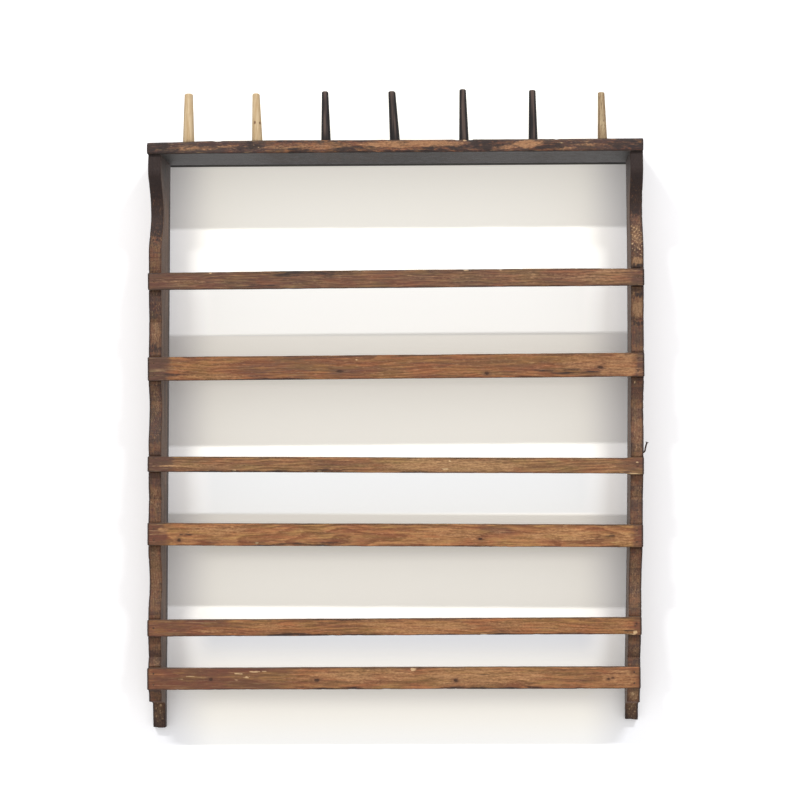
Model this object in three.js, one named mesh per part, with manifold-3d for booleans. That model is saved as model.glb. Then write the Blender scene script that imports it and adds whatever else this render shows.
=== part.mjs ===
// A hand-made pine wall rack for plates: three shelves behind wide front rails,
// three thin plate rails above them, two side boards with scalloped front edges,
// and a top board with a row of whittled pegs.
// Millimetres, +Z up, +X to the right seen from the room, front towards -Y.
// The wall is the plane y = 0, and z = 0 is the middle of the top board.

import * as THREE from "three";
import { mergeVertices } from "three/addons/utils/BufferGeometryUtils.js";
import Module from "manifold-3d";

const wasm = await Module();
wasm.setup();

// ---------------------------------------------------------------- driving sizes

const FIT = 0.3; // clearance between a piece and the seat cut for it

// side boards
const CLEAR_SPAN = 875.2; // between their inner faces
const SIDE_THICK = 24;
const LEAN_LEFT = 4.1; // how far each foot stands to the left of the board's top
const LEAN_RIGHT = 9.6;
const BOW_RIGHT = 5; // the right-hand plank has warped outwards
const PLUMB_RIGHT = 0.95; // below this share of the drop it hangs plumb again
const SIDE_SET_IN = 12; // front edge behind the face line of the rails
const HEAD_DEPTH = 143; // at the top, under the board
const HEAD_DROP = 32; // height of the straight head

// top board
const TOP_THICK = 24;
const TOP_DEPTH = 150;
const TOP_PAST_LEFT = 1.6; // overhang past the side board
const TOP_PAST_RIGHT = 0.4;
const TOP_EDGE_ROUND = 5; // worn front arrises
const TOP_HOUSING = 4; // how deep the side boards stand in it

// face line of the rails, raked back towards the foot
const FACE_DEPTH_TOP = 144; // from the wall, at the underside of the top board
const FACE_DEPTH_FOOT = 104; // at the shoulder of the feet

// rails and shelves
const RAIL_THICK = 14;
const RAIL_ROUND = 1.8; // worn front arrises
const SHELF_THICK = 18;
const SHELF_BELOW_RAIL_TOP = 11;
const SHELF_HOUSING = 8; // how deep the shelf ends go into the side boards

// heights down the rack, tier by tier
const OPEN_1 = 218.7; // top board to the first plate rail
const OPEN_2 = 145.4; // shelf rail to the next plate rail
const OPEN_3 = 133.5;
const SLOT_1 = 124.2; // plate rail to shelf rail
const SLOT_2 = 94;
const SLOT_3 = 58.8;
const PLATE_RAIL_1 = 32.6;
const PLATE_RAIL_2 = 29.7;
const PLATE_RAIL_3 = 31.7;
const SHELF_RAIL_1 = 45.3;
const SHELF_RAIL_2 = 42.9;
const SHELF_RAIL_3 = 41.3;

// scoops in the front edges: from the tier's start down to the deepest point,
// then out again to the tier's end of the scoop
const SCOOP_DROP_1 = 107;
const SCOOP_DROP_2 = 50;
const SCOOP_DROP_3 = 71;
const SCOOP_END_1 = 178;
const SCOOP_END_2 = 128;
const SCOOP_END_3 = 126;
const SCOOP_DEPTH_1 = 31;
const SCOOP_DEPTH_2 = 14;
const SCOOP_DEPTH_3 = 18;
const SCOOP_START_2 = 4;
const SCOOP_START_3 = 8;

// nicks in the front edges between the two rails of a tier
const NICK_DROP_1 = 60;
const NICK_DROP_2 = 49;
const NICK_DROP_3 = 42;
const NICK_DEPTH = 10;
const NICK_LEDGE = 4;

// hand-made slopes: how much higher each rail's right end is than its left
const TIERS = [
  {
    open: OPEN_1, slot: SLOT_1, nickDrop: NICK_DROP_1,
    scoop: { start: HEAD_DROP, drop: SCOOP_DROP_1, end: SCOOP_END_1, depth: SCOOP_DEPTH_1 },
    plateRail: { height: PLATE_RAIL_1, rise: 4.4 },
    shelfRail: { height: SHELF_RAIL_1, rise: 4.9 },
  },
  {
    open: OPEN_2, slot: SLOT_2, nickDrop: NICK_DROP_2,
    scoop: { start: SCOOP_START_2, drop: SCOOP_DROP_2, end: SCOOP_END_2, depth: SCOOP_DEPTH_2 },
    plateRail: { height: PLATE_RAIL_2, rise: -5.2 },
    shelfRail: { height: SHELF_RAIL_2, rise: -4.4 },
  },
  {
    open: OPEN_3, slot: SLOT_3, nickDrop: NICK_DROP_3,
    scoop: { start: SCOOP_START_3, drop: SCOOP_DROP_3, end: SCOOP_END_3, depth: SCOOP_DEPTH_3 },
    plateRail: { height: PLATE_RAIL_3, rise: 4.8 },
    shelfRail: { height: SHELF_RAIL_3, rise: 3.4 },
  },
];

// feet
const SHOULDER_DROP = 25; // below the lowest rail
const SHOULDER_CUT = 14; // how far the edge has curved back at the shoulder
const SHOULDER_SLOPE = 6;
const FOOT_DEPTH_TOP = 26;
const FOOT_DEPTH_END = 16;
const FOOT_LEFT = 48.8; // length below the shoulder's ledge
const FOOT_RIGHT = 32.4;

// pegs, from left to right
const PEG_SPACING = 129;
const PEG_SET_BACK = 22; // behind the front of the top board
const PEG_TENON_DIA = 12;
const PEG_TENON = 18;
const PEG_FACETS = 9;
const PEG_TIP_ROUND = 4;
const PEGS = [
  { height: 92, base: 20.2, tip: 14.3, lean: 0, fresh: true },
  { height: 91.5, base: 18.6, tip: 12.3, lean: -2.4, fresh: true },
  { height: 94.5, base: 16.9, tip: 11, lean: -1.8, fresh: false },
  { height: 93.7, base: 17.8, tip: 12.2, lean: -5.7, fresh: false },
  { height: 96.5, base: 16.9, tip: 11, lean: -2.2, fresh: false },
  { height: 94, base: 16, tip: 11.1, lean: -1.3, fresh: false },
  { height: 89, base: 16.4, tip: 11.3, lean: -2, fresh: true },
];

// nails
const NAIL_DIA = 3;
const NAIL_HEAD_DIA = 6.5;
const NAIL_HEAD = 1.4;
const NAIL_POINT = 5;
const NAIL_SIDES = 8;
const RAIL_NAIL = 42;
const SHELF_NAIL = 46;
const TOP_NAIL = 50;
const TOP_NAIL_FRONT = 105; // from the wall
const TOP_NAIL_BACK = 35;

// the bent nail left in the right side board
const BENT_NAIL_DEPTH = 84; // from the wall
const BENT_NAIL_BELOW = 558; // below the top board
const BENT_NAIL_IN = 12;
const BENT_NAIL_OUT = 5;
const BENT_NAIL_RISE = 19;
const BENT_NAIL_LEAN = 3;

// ---------------------------------------------------------------- derived places

const UNDERSIDE = -TOP_THICK / 2;

// heights of each tier's rails, worked out down the rack
let level = UNDERSIDE;
for (const tier of TIERS) {
  tier.start = level;
  tier.plateRail.top = level - tier.open;
  tier.plateRail.bottom = tier.plateRail.top - tier.plateRail.height;
  tier.shelfRail.top = tier.plateRail.bottom - tier.slot;
  tier.shelfRail.bottom = tier.shelfRail.top - tier.shelfRail.height;
  level = tier.shelfRail.bottom;
}
const SHOULDER = level - SHOULDER_DROP;
const SIDE_DROP = UNDERSIDE - SHOULDER;
const RAKE = Math.atan((FACE_DEPTH_TOP - FACE_DEPTH_FOOT) / SIDE_DROP);
const HALF_SPAN = CLEAR_SPAN / 2;
const HALF_OUTER = HALF_SPAN + SIDE_THICK;

const down = (z) => (UNDERSIDE - z) / SIDE_DROP;
const faceDepth = (z) => THREE.MathUtils.lerp(FACE_DEPTH_TOP, FACE_DEPTH_FOOT, down(z));
const edgeDepth = (z) => faceDepth(z) - SIDE_SET_IN;
const leanLeft = (z) => -LEAN_LEFT * down(z);
function leanRight(z) {
  const at = Math.min(down(z), PLUMB_RIGHT);
  return (4 * BOW_RIGHT * (1 - at) - LEAN_RIGHT) * at;
}

// ---------------------------------------------------------------- helpers

const wood = (color, roughness = 0.75) =>
  new THREE.MeshStandardMaterial({ color, roughness, metalness: 0 });
const WOODS = {
  dark: wood(0x4a3a33, 0.8),
  side: wood(0x59453a, 0.8),
  rail: wood(0x8a5c3c),
  shelf: wood(0x5b4a40, 0.8),
  pegFresh: wood(0xcdb284),
  pegOld: wood(0x2e2625),
};
const IRON = new THREE.MeshStandardMaterial({ color: 0x3a2f2a, roughness: 0.7, metalness: 0.8 });

const group = new THREE.Group();

// A profile drawn as (depth from the wall, height), run along X and centred on it.
function alongX(shape, length, curveSegments = 4) {
  const geometry = new THREE.ExtrudeGeometry(shape, {
    depth: length, bevelEnabled: false, steps: 1, curveSegments,
  });
  geometry.translate(0, 0, -length / 2);
  const turn = new THREE.Matrix4().makeBasis(
    new THREE.Vector3(0, -1, 0), new THREE.Vector3(0, 0, 1), new THREE.Vector3(-1, 0, 0),
  );
  return geometry.applyMatrix4(turn);
}

function add(parent, name, geometry, material) {
  const mesh = new THREE.Mesh(geometry, material);
  mesh.name = name;
  parent.add(mesh);
  return mesh;
}

function toSolid(geometry) {
  const bare = geometry.clone();
  bare.deleteAttribute("normal");
  bare.deleteAttribute("uv");
  const merged = mergeVertices(bare, 1e-4);
  return new wasm.Manifold(new wasm.Mesh({
    numProp: 3,
    vertProperties: new Float32Array(merged.attributes.position.array),
    triVerts: new Uint32Array(merged.index.array),
  }));
}

function fromSolid(solid) {
  const out = solid.getMesh();
  const geometry = new THREE.BufferGeometry();
  geometry.setAttribute("position", new THREE.BufferAttribute(out.vertProperties, 3));
  geometry.setIndex(new THREE.BufferAttribute(out.triVerts, 1));
  geometry.computeVertexNormals();
  return geometry;
}

// The room that a placed piece needs in its neighbours.
const room = (mesh, grown) => ({ mesh, grown });

// Cuts the rooms of other pieces out of a mesh, in the mesh's own frame.
function carve(mesh, rooms) {
  group.updateMatrixWorld(true);
  const home = mesh.matrixWorld.clone().invert();
  let solid = toSolid(mesh.geometry);
  for (const { mesh: other, grown } of rooms) {
    const into = home.clone().multiply(other.matrixWorld);
    solid = solid.subtract(toSolid(grown.clone().applyMatrix4(into)));
  }
  mesh.geometry = fromSolid(solid);
}

// ---------------------------------------------------------------- boards

// Front edge worn round, back edge square: the section of the top board and rails.
function boardSection(thick, low, high, round, grow) {
  const front = thick + grow;
  const back = -grow;
  const top = high + grow;
  const bottom = low - grow;
  const shape = new THREE.Shape();
  shape.moveTo(back, bottom);
  shape.lineTo(front - round, bottom);
  shape.quadraticCurveTo(front, bottom, front, bottom + round);
  shape.lineTo(front, top - round);
  shape.quadraticCurveTo(front, top, front - round, top);
  shape.lineTo(back, top);
  shape.closePath();
  return shape;
}

// Scoop: an S-curve back to its deepest point and a longer one out again.
function cutScoop(shape, tier) {
  const { start, drop, end: reach, depth } = tier.scoop;
  const begin = tier.start - start;
  const deepest = tier.start - drop;
  const end = tier.start - reach;
  const first = tier === TIERS[0] ? HEAD_DEPTH : edgeDepth(begin);
  const back = edgeDepth(deepest) - depth;
  const fall = begin - deepest;
  const climb = deepest - end;
  shape.lineTo(first, begin);
  shape.bezierCurveTo(first, begin - fall * 0.2, back, deepest + fall * 0.5, back, deepest);
  shape.bezierCurveTo(
    back, deepest - climb * 0.45, edgeDepth(end), end + climb * 0.35, edgeDepth(end), end,
  );
}

// Nick: the edge curves back to a small ledge between plate rail and shelf rail.
function cutNick(shape, tier) {
  const above = tier.plateRail.bottom;
  const nick = above - tier.nickDrop;
  const back = edgeDepth(nick) - NICK_DEPTH;
  const out = back + NICK_LEDGE;
  const below = tier.shelfRail.top;
  shape.lineTo(edgeDepth(above), above);
  shape.quadraticCurveTo(edgeDepth(nick), nick + tier.nickDrop * 0.4, back, nick);
  shape.lineTo(out, nick - 1.5);
  shape.quadraticCurveTo(out, (nick + below) / 2, edgeDepth(below), below);
}

// The front edge from the foot's end up to the head, as depths and heights.
function frontEdge(footLength) {
  const ledge = SHOULDER - SHOULDER_SLOPE;
  const lowest = TIERS.at(-1).shelfRail.bottom;
  const shoulderDepth = edgeDepth(SHOULDER) - SHOULDER_CUT;
  const foot = new THREE.Path();
  foot.moveTo(FOOT_DEPTH_END, ledge - footLength);
  foot.lineTo(FOOT_DEPTH_TOP, ledge);
  foot.lineTo(shoulderDepth, SHOULDER);
  foot.quadraticCurveTo(shoulderDepth, lowest - 6, edgeDepth(lowest), lowest);
  const front = new THREE.Path();
  front.moveTo(HEAD_DEPTH, UNDERSIDE + TOP_HOUSING);
  for (const tier of TIERS) {
    cutScoop(front, tier);
    cutNick(front, tier);
  }
  return [...foot.getPoints(7), ...front.getPoints(7).reverse()];
}

// A board's faces bend with it: each point of the front edge gives a ring of four
// corners, and the rings are joined one to the next and closed at both ends.
function bentBoard(edge, low, high, leanAt) {
  const corners = [];
  const faces = [];
  edge.forEach(({ x: depth, y: z }, ring) => {
    const left = low + leanAt(z);
    const right = high + leanAt(z);
    corners.push(left, 0, z, left, -depth, z, right, -depth, z, right, 0, z);
    if (ring === 0) return;
    for (let side = 0; side < 4; side += 1) {
      const next = (side + 1) % 4;
      const [a, b] = [4 * ring - 4 + side, 4 * ring - 4 + next];
      faces.push(a, b, b + 4, a, b + 4, a + 4);
    }
  });
  const last = 4 * (edge.length - 1);
  faces.push(0, 2, 1, 0, 3, 2, last, last + 1, last + 2, last, last + 2, last + 3);
  const geometry = new THREE.BufferGeometry();
  geometry.setAttribute("position", new THREE.Float32BufferAttribute(corners, 3));
  geometry.setIndex(faces);
  return geometry;
}

function sideBoard({ label, sign, leanAt, foot }) {
  const faces = [sign * HALF_SPAN, sign * HALF_OUTER];
  const board = bentBoard(frontEdge(foot), Math.min(...faces), Math.max(...faces), leanAt);
  return add(group, `side_board_${label}`, board, WOODS.side);
}

function topBoard() {
  const length = 2 * HALF_OUTER + TOP_PAST_LEFT + TOP_PAST_RIGHT;
  const half = TOP_THICK / 2;
  const section = boardSection(TOP_DEPTH, -half, half, TOP_EDGE_ROUND, 0);
  const mesh = add(group, "top_board", alongX(section, length), WOODS.dark);
  mesh.position.x = (TOP_PAST_RIGHT - TOP_PAST_LEFT) / 2;
  return mesh;
}

// ---------------------------------------------------------------- nails

// A nail lies along its own Z with the head's top at z = 0 and the point below.
function nailGeometry(length, grow = 0) {
  const shank = NAIL_DIA / 2 + grow;
  const head = NAIL_HEAD_DIA / 2 + grow;
  const point = length + grow;
  const profile = [
    [0, -point], [shank * 0.5, -point], [shank, -point + NAIL_POINT],
    [shank, -NAIL_HEAD - grow], [head, -NAIL_HEAD - grow], [head, grow], [0, grow],
  ];
  return new THREE.LatheGeometry(profile.map(([r, z]) => new THREE.Vector2(r, z)), NAIL_SIDES)
    .rotateX(Math.PI / 2);
}

const nailRooms = [];
function nail(parent, name, length, place, turn) {
  const mesh = add(parent, name, nailGeometry(length), IRON);
  mesh.position.set(...place);
  mesh.rotation.set(...turn);
  const made = room(mesh, nailGeometry(length, FIT));
  nailRooms.push(made);
  return made;
}
const INTO_WALL = [Math.PI / 2, 0, 0]; // head to the room, point to the wall
const INTO_RIGHT = [0, -Math.PI / 2, 0];
const INTO_LEFT = [0, Math.PI / 2, 0];

// ---------------------------------------------------------------- rails, shelves

const SIDES = [
  { label: "left", sign: -1, into: INTO_RIGHT, leanAt: leanLeft, foot: FOOT_LEFT },
  { label: "right", sign: 1, into: INTO_LEFT, leanAt: leanRight, foot: FOOT_RIGHT },
];

// A rail is raked with the face line, slopes a little from end to end and is
// sawn off flush with the side boards' outer faces.
function rail(name, spec, nailHeights) {
  const middle = (spec.top + spec.bottom) / 2;
  const length = 2 * HALF_OUTER + leanRight(middle) - leanLeft(middle);
  const centre = (leanLeft(middle) + leanRight(middle)) / 2;
  const slope = new THREE.Group();
  slope.position.set(centre, 0, middle);
  slope.rotation.y = -Math.atan(spec.rise / (2 * HALF_OUTER));
  group.add(slope);
  const plane = new THREE.Group();
  plane.position.y = -faceDepth(middle);
  plane.rotation.x = RAKE;
  slope.add(plane);

  const half = spec.height / 2;
  const sectionOf = (grow) => boardSection(RAIL_THICK, -half, half, RAIL_ROUND, grow);
  const mesh = add(plane, name, alongX(sectionOf(0), length), WOODS.rail);
  mesh.position.y = RAIL_THICK;
  const nails = [];
  for (const { label, sign, leanAt } of SIDES) {
    const along = sign * (HALF_SPAN + SIDE_THICK / 2) + leanAt(middle) - centre;
    nailHeights.forEach((share, index) => {
      const place = [along, 0, share * spec.height];
      const tag = nailHeights.length > 1 ? `_${index + 1}` : "";
      nails.push(nail(plane, `${name}_nail_${label}${tag}`, RAIL_NAIL, place, INTO_WALL));
    });
  }
  const seat = room(mesh, alongX(sectionOf(FIT), length + 2 * FIT));
  return { mesh, slope, nails, middle, centre, seat };
}

// A shelf lies level from the wall to the back of its rail, on the same slope.
function shelf(name, spec, { slope, middle, centre }) {
  const top = spec.top - SHELF_BELOW_RAIL_TOP;
  const bottom = top - SHELF_THICK;
  const behindRail = (z) => faceDepth(z) - RAIL_THICK / Math.cos(RAKE) - FIT;
  const outline = (grow) => {
    const shape = new THREE.Shape();
    shape.moveTo(-grow, bottom - grow - middle);
    shape.lineTo(behindRail(bottom) + grow, bottom - grow - middle);
    shape.lineTo(behindRail(top) + grow, top + grow - middle);
    shape.lineTo(-grow, top + grow - middle);
    shape.closePath();
    return shape;
  };
  const clear = CLEAR_SPAN + leanRight(middle) - leanLeft(middle);
  const length = clear + 2 * (SHELF_HOUSING - FIT);
  const mesh = add(slope, name, alongX(outline(0), length), WOODS.shelf);
  const nails = [];
  for (const { label, sign, into, leanAt } of SIDES) {
    const along = sign * HALF_OUTER + leanAt(middle) - centre;
    [0.3, 0.65].forEach((share, index) => {
      const place = [along, -share * behindRail(top), (top + bottom) / 2 - middle];
      nails.push(nail(slope, `${name}_nail_${label}_${index + 1}`, SHELF_NAIL, place, into));
    });
  }
  return { mesh, nails, seat: room(mesh, alongX(outline(FIT), length + 2 * FIT)) };
}

// ---------------------------------------------------------------- pegs

// A whittled peg: a tenon, a shoulder and a faceted taper with a blunt tip.
function pegGeometry({ height, base, tip, lean }, turn) {
  const profile = [
    [0, -PEG_TENON + FIT], [PEG_TENON_DIA / 2, -PEG_TENON + FIT], [PEG_TENON_DIA / 2, 0],
    [base / 2, 0], [(base + tip) / 4, height * 0.55], [tip / 2, height - PEG_TIP_ROUND],
    [tip * 0.36, height - 1], [0, height],
  ];
  const geometry = new THREE.LatheGeometry(
    profile.map(([r, z]) => new THREE.Vector2(r, z)), PEG_FACETS, turn,
  ).rotateX(Math.PI / 2);
  const position = geometry.attributes.position;
  for (let i = 0; i < position.count; i += 1) {
    const up = Math.max(position.getZ(i), 0) / height;
    position.setX(i, position.getX(i) + lean * up);
  }
  return geometry;
}

function peg(index) {
  const spec = PEGS[index];
  const finish = spec.fresh ? WOODS.pegFresh : WOODS.pegOld;
  const mesh = add(group, `peg_${index + 1}`, pegGeometry(spec, index * 0.7), finish);
  const along = (index - (PEGS.length - 1) / 2) * PEG_SPACING;
  mesh.position.set(along, PEG_SET_BACK - TOP_DEPTH, TOP_THICK / 2 + FIT);
  const hole = new THREE.CylinderGeometry(
    PEG_TENON_DIA / 2 + FIT, PEG_TENON_DIA / 2 + FIT, PEG_TENON + 2 * FIT, 18,
  ).rotateX(Math.PI / 2).translate(0, 0, -PEG_TENON / 2);
  return room(mesh, hole);
}

// ---------------------------------------------------------------- bent nail

// Driven a little way into the board's outer face, then knocked upwards.
function bentNail() {
  const face = HALF_OUTER + leanRight(UNDERSIDE - BENT_NAIL_BELOW);
  const route = new THREE.CatmullRomCurve3([
    new THREE.Vector3(-BENT_NAIL_IN, 0, 0),
    new THREE.Vector3(0, 0, 0),
    new THREE.Vector3(BENT_NAIL_OUT * 0.7, 0, BENT_NAIL_OUT * 0.4),
    new THREE.Vector3(BENT_NAIL_OUT, 0, BENT_NAIL_RISE * 0.5),
    new THREE.Vector3(BENT_NAIL_OUT + BENT_NAIL_LEAN, 0, BENT_NAIL_RISE),
  ]);
  const section = new THREE.Shape();
  section.absarc(0, 0, NAIL_DIA / 2, 0, 2 * Math.PI);
  const shank = new THREE.ExtrudeGeometry(section, {
    steps: 14, bevelEnabled: false, extrudePath: route, curveSegments: 4,
  });
  const head = new THREE.CylinderGeometry(NAIL_DIA, NAIL_DIA, NAIL_HEAD, NAIL_SIDES);
  const tip = route.getPoint(1);
  const aim = new THREE.Quaternion().setFromUnitVectors(
    new THREE.Vector3(0, 1, 0), route.getTangent(1),
  );
  head.applyQuaternion(aim).translate(tip.x, tip.y, tip.z);
  const mesh = add(group, "bent_nail", fromSolid(toSolid(shank).add(toSolid(head))), IRON);
  mesh.position.set(face, -BENT_NAIL_DEPTH, UNDERSIDE - BENT_NAIL_BELOW);
  const bore = new THREE.CylinderGeometry(
    NAIL_DIA / 2 + FIT, NAIL_DIA / 2 + FIT, 2 * BENT_NAIL_IN + 2 * FIT, NAIL_SIDES,
  ).rotateZ(Math.PI / 2);
  return room(mesh, bore);
}

// ---------------------------------------------------------------- assembly

const top = topBoard();
const [leftSide, rightSide] = SIDES.map(sideBoard);

const topNails = [];
for (const { label, sign } of SIDES) {
  [TOP_NAIL_BACK, TOP_NAIL_FRONT].forEach((depth, index) => {
    const place = [sign * (HALF_SPAN + SIDE_THICK / 2), -depth, TOP_THICK / 2];
    topNails.push(nail(group, `top_nail_${label}_${index + 1}`, TOP_NAIL, place, [0, 0, 0]));
  });
}

const seats = [];
TIERS.forEach((tier, index) => {
  const number = index + 1;
  const plateRail = rail(`plate_rail_${number}`, tier.plateRail, [0]);
  const shelfRail = rail(`shelf_rail_${number}`, tier.shelfRail, [-0.25, 0.25]);
  const board = shelf(`shelf_${number}`, tier.shelfRail, shelfRail);
  seats.push(plateRail.seat, shelfRail.seat, board.seat);
  carve(plateRail.mesh, plateRail.nails);
  carve(shelfRail.mesh, shelfRail.nails);
  carve(board.mesh, board.nails);
});

const pegHoles = PEGS.map((_, index) => peg(index));
const bentNailHole = bentNail();

for (const side of [leftSide, rightSide]) {
  const head = room(side, grownHead(side));
  carve(top, [head]);
}
carve(top, [...pegHoles, ...topNails]);
carve(leftSide, [...seats, ...nailRooms]);
carve(rightSide, [...seats, ...nailRooms, bentNailHole]);

// The housing that a side board's upper end needs in the top board.
function grownHead(side) {
  const box = new THREE.Box3().setFromObject(side);
  const head = new THREE.BoxGeometry(
    SIDE_THICK + 2 * FIT, HEAD_DEPTH + 2 * FIT, 2 * (TOP_HOUSING + FIT),
  );
  const sign = Math.sign(box.min.x + box.max.x);
  return head.translate(sign * (HALF_SPAN + SIDE_THICK / 2), -HEAD_DEPTH / 2, UNDERSIDE);
}

export default group;
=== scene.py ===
# A hand-made pine wall rack for plates, hung on a white wall.
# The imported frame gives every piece's place: metres, +X right, +Z up, wall at y = 0.
# Each plank is rebuilt here with worn arrises, hand-sawn edges, chips and nails.
# Lengths below are in millimetres unless a name says otherwise.

import itertools
import math

import bpy
import numpy as np
from mathutils import Euler, Matrix, Vector
from mathutils.bvhtree import BVHTree


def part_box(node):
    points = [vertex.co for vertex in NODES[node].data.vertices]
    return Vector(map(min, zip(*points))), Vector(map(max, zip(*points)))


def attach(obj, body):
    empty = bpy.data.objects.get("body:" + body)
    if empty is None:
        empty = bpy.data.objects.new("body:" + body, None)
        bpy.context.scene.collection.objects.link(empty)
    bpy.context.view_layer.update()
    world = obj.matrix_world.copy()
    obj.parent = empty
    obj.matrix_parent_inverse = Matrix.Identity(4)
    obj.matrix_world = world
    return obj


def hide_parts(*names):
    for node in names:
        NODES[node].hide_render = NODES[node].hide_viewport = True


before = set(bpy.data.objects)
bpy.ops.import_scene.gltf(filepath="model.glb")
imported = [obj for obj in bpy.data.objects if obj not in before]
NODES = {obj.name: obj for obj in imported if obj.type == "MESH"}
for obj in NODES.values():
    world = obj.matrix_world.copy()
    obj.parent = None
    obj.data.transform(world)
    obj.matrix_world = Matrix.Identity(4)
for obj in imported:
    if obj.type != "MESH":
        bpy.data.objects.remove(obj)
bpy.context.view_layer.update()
MM = 0.001


def srgb(red, green, blue):
    """A colour as it looks on screen, 0 to 255, as the linear colour that a shader takes."""
    scaled = [value / 255 for value in (red, green, blue)]
    return tuple(
        v / 12.92 if v <= 0.04045 else ((v + 0.055) / 1.055) ** 2.4 for v in scaled
    ) + (1.0,)


def new_object(name, data):
    made = bpy.data.objects.new(name, data)
    bpy.context.collection.objects.link(made)
    return made


# ---- camera and light

IMAGE = 800
FOCAL_PIXELS = 2394
CAMERA_PLACE = Vector((0.1636, -4.574, -0.6766))
CAMERA_YAW = math.radians(1.996)
CAMERA_PITCH = math.radians(2.631)
CAMERA_ROLL = math.radians(-0.1)


def make_camera():
    lens = bpy.data.cameras.new("camera")
    lens.sensor_fit = "HORIZONTAL"
    lens.sensor_width = 36
    lens.lens = FOCAL_PIXELS / IMAGE * lens.sensor_width
    camera = new_object("camera", lens)
    turn = Euler((math.pi / 2 + CAMERA_PITCH, 0, CAMERA_YAW)).to_matrix().to_4x4()
    camera.matrix_world = (
        Matrix.Translation(CAMERA_PLACE) @ turn @ Matrix.Rotation(CAMERA_ROLL, 4, "Z")
    )
    bpy.context.scene.camera = camera


# Two soft lamps stand high at the left and right in front of the rack. Each tier
# then throws a flat band of shadow on the wall below it.
LAMP_AIM = Vector((0, 0, -0.5))
LAMPS = {
    "lamp_left": (Vector((-2.2, -3.95, 3.17)), 122, (1.0, 0.99, 0.97)),
    "lamp_right": (Vector((2.3, -3.95, 3.17)), 122, (0.97, 0.985, 1.0)),
}
LAMP_WIDTH, LAMP_HEIGHT = 1.3, 0.12
AMBIENT = 0.78  # the room, as it lights the rack
WHITE = (1, 1, 1, 1)


def make_lights():
    for name, (place, watts, colour) in LAMPS.items():
        data = bpy.data.lights.new(name, "AREA")
        data.shape = "RECTANGLE"
        data.size, data.size_y = LAMP_WIDTH, LAMP_HEIGHT
        data.energy = watts
        data.color = colour
        lamp = new_object(name, data)
        lamp.location = place
        # turned about X only, so that each lamp's long side runs level along the wall
        reach = LAMP_AIM - place
        lamp.rotation_euler = (math.atan2(reach.y, -reach.z), 0, 0)

    world = bpy.data.worlds.new("room")
    bpy.context.scene.world = world
    world.use_nodes = True
    p = Nodes(world.node_tree)
    plain = p.node("Background", {"Color": WHITE, "Strength": AMBIENT}).outputs[0]
    white = p.node("Background", {"Color": WHITE}).outputs[0]
    room = p.node("MixShader", {0: p.sees_white(), 1: plain, 2: white}).outputs[0]
    p.feed(p.tree.nodes["World Output"].inputs[0], room)
    bpy.context.scene.view_settings.view_transform = "Standard"


# ---- smooth noise


class Noise:
    """Smooth value noise from -1 to 1 in up to three dimensions, the same on every run."""

    def __init__(self, seed):
        generator = np.random.default_rng(seed)
        self.order = generator.permutation(256)
        self.value = generator.random(256) * 2 - 1

    def __call__(self, x, y=0.0, z=0.0):
        x, y, z = np.broadcast_arrays(x, y, z)
        cells = [np.floor(v).astype(int) for v in (x, y, z)]
        parts = [v - c for v, c in zip((x, y, z), cells)]
        ease = [p * p * (3 - 2 * p) for p in parts]
        total = np.zeros(x.shape)
        for ends in itertools.product((0, 1), repeat=3):
            spot, weight = 0, 1.0
            for cell, end, share in zip(cells, ends, ease):
                spot = self.order[(spot + cell + end) & 255]
                weight = weight * (share if end else 1 - share)
            total += weight * self.value[spot]
        return total

    def positive(self, *place):
        """The same noise, moved to run from 0 to 1."""
        return 0.5 + 0.5 * self(*place)


def smoothstep(value, low, high):
    t = np.clip((value - low) / (high - low), 0, 1)
    return t * t * (3 - 2 * t)


# ---- meshes of planks

ARC = 5  # points round each arris


def stations(length, coarse, fine=1.3, fine_reach=26):
    """Places along a plank from 0 to its length, close together at both ends."""
    near = np.concatenate([[0, 0.25, 0.7, 1.3, 2.1], np.arange(3.2, fine_reach, fine)])
    count = max(int((length - 2 * fine_reach) / coarse), 2)
    middle = np.linspace(fine_reach, length - fine_reach, count)
    return np.concatenate([near, middle, (length - near)[::-1]])


def sections(low, high, radii, counts):
    """Rounded rectangles, one for each station.

    low and high are (n, 2) corners and radii is (n, 4), one for each arris in the
    order (low, low), (high, low), (high, high), (low, high). counts says how many
    points lie between the arrises. Gives points and outward directions (n, m, 2).
    """
    arcs, ways = [], []
    for number, signs in enumerate([(-1, -1), (1, -1), (1, 1), (-1, 1)]):
        radius = radii[:, number, None]
        centre = np.where(np.array(signs) < 0, low + radius, high - radius)
        angles = math.pi + (number + np.linspace(0, 1, ARC)) * math.pi / 2
        ways.append([np.array([math.cos(angle), math.sin(angle)]) for angle in angles])
        arcs.append([centre + radius * way for way in ways[-1]])
    points, normals = [], []
    for number, count in enumerate(counts):
        begin, end = arcs[number][-1], arcs[(number + 1) % 4][0]
        shares = np.arange(1, count + 1) / (count + 1)
        points += arcs[number] + [begin + (end - begin) * share for share in shares]
        normals += ways[number] + [ways[number][-1]] * count
    return np.stack(points, 1), np.broadcast_to(np.stack(normals), (len(low), len(normals), 2))


def skin(name, grid, place):
    """A closed mesh from a grid of rings (n stations, m round, 3), with end caps."""
    count, around = grid.shape[:2]
    points = grid.reshape(-1, 3)
    ends = np.stack([grid[0].mean(0), grid[-1].mean(0)])
    points = np.concatenate([points, ends])
    faces = []
    for i in range(count - 1):
        row = i * around
        for j in range(around):
            k = (j + 1) % around
            faces.append((row + j, row + k, row + around + k, row + around + j))
    last = (count - 1) * around
    for j in range(around):
        k = (j + 1) % around
        faces.append((j, count * around, k))
        faces.append((last + k, count * around + 1, last + j))
    mesh = bpy.data.meshes.new(name)
    mesh.from_pydata((points * MM).tolist(), [], faces)
    mesh.transform(place)
    mesh.shade_smooth()
    mesh.set_sharp_from_angle(angle=math.radians(48))
    mesh.update()
    return new_object(name, mesh)


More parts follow.
